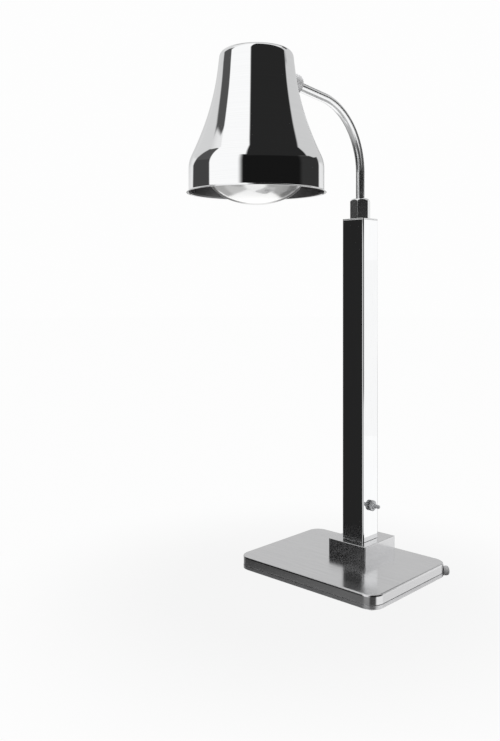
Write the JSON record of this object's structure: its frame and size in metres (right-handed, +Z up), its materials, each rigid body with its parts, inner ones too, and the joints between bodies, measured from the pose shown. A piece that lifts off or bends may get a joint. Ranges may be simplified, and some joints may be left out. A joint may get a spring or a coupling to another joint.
{
  "type": "food heat lamp",
  "caption": "Food heat lamp: polished bell shade with a reflector bulb on a swivelling bent arm, over a square post that slides on a mast, held by a clamp screw, on a flat base.",
  "frame": {"origin": "on the table, under the middle of the lamp's outline seen from above", "axes": "+Z up; -Y to the front, where the shade is; +X to the right seen from the front, the side of the clamp screw"},
  "size_m": [0.2306, 0.3495, 0.6817],
  "materials": {
    "mirror_steel": "mirror polished",
    "shade_chrome": "mirror polished",
    "collar_chrome": "polished, darker",
    "base_steel": "polished sheet",
    "plate_steel": "satin",
    "plain_steel": "zinc plated",
    "brass": "plain",
    "black_rubber": "matte",
    "gland_rubber": "satin",
    "guide_plastic": "matte",
    "white_plastic": "matte",
    "lead_sleeve": "woven sleeve",
    "ceramic": "glazed",
    "bulb_glass": "clear face, silvered back"
  },
  "bodies": {
    "base": {"base_plate": "plate_steel", "base_cover": "base_steel", "rubber_feet": "black_rubber", "cover_posts": "plain_steel", "cover_screws": "plain_steel", "mast_flange": "plain_steel", "flange_bolts": "plain_steel", "flange_spacers": "plain_steel", "flange_nuts": "plain_steel", "mast": "plain_steel", "post_foot": "base_steel", "foot_screws": "plain_steel", "mast_guide": "guide_plastic", "wire_grommet": "black_rubber", "terminal_block": "white_plastic", "terminal_screws": "brass", "block_screw": "plain_steel", "earth_stud": "brass", "earth_nut": "brass", "base_lead": "lead_sleeve", "cord_gland": "gland_rubber"},
    "post": {"post": "mirror_steel", "post_cap": "mirror_steel", "post_guide": "guide_plastic", "clamp_nut": "plain_steel", "arm_collar": "collar_chrome", "collar_nut": "plain_steel", "swivel_stop_screw": "plain_steel", "post_lead": "lead_sleeve"},
    "arm": {"arm_pivot": "brass", "arm_tube": "mirror_steel", "shade": "shade_chrome", "shade_boss": "mirror_steel", "shade_nipple": "brass", "shade_saddle": "plain_steel", "nipple_nut": "brass", "holder_bracket": "plain_steel", "bracket_screws": "plain_steel", "lamp_holder": "ceramic", "holder_shell": "brass", "holder_contact": "brass", "arm_lead": "lead_sleeve"},
    "bulb": {"bulb_glass": "bulb_glass", "bulb_cap": "brass", "bulb_insulator": "guide_plastic", "bulb_tip": "plain_steel", "bulb_stem": "bulb_glass", "filament": "plain_steel"},
    "clamp_tip": {"clamp_pad": "guide_plastic"},
    "clamp_knob": {"clamp_screw": "plain_steel", "thumb_wheel": "plain_steel"}
  },
  "joints": [
    {"name": "post_slide", "type": "slide", "parent": "base", "child": "post", "axis": [0, 0, 1], "range_m": [0, 0.15], "deforming": ["post_lead"]},
    {"name": "arm_swivel", "type": "hinge", "parent": "post", "child": "arm", "pos_m": [0, 0.12845, 0.5], "axis": [0, 0, 1], "range_deg": [-90, 90]},
    {"name": "bulb_turn", "type": "hinge", "parent": "arm", "child": "bulb", "pos_m": [0, -0.08755, 0.64], "axis": [0, 0, -1], "range_deg": [0, 900]},
    {"name": "pad_travel", "type": "slide", "parent": "post", "child": "clamp_tip", "axis": [1, 0, 0], "range_m": [0, 0.0024]},
    {"name": "screw_turn", "type": "hinge", "parent": "clamp_tip", "child": "clamp_knob", "pos_m": [0.02, 0.12845, 0.0872], "axis": [1, 0, 0], "range_deg": [0, 1080]}
  ],
  "couplings": [
    {"joint": "pad_travel", "follows": "screw_turn", "m_per_rad": 0.000127}
  ]
}
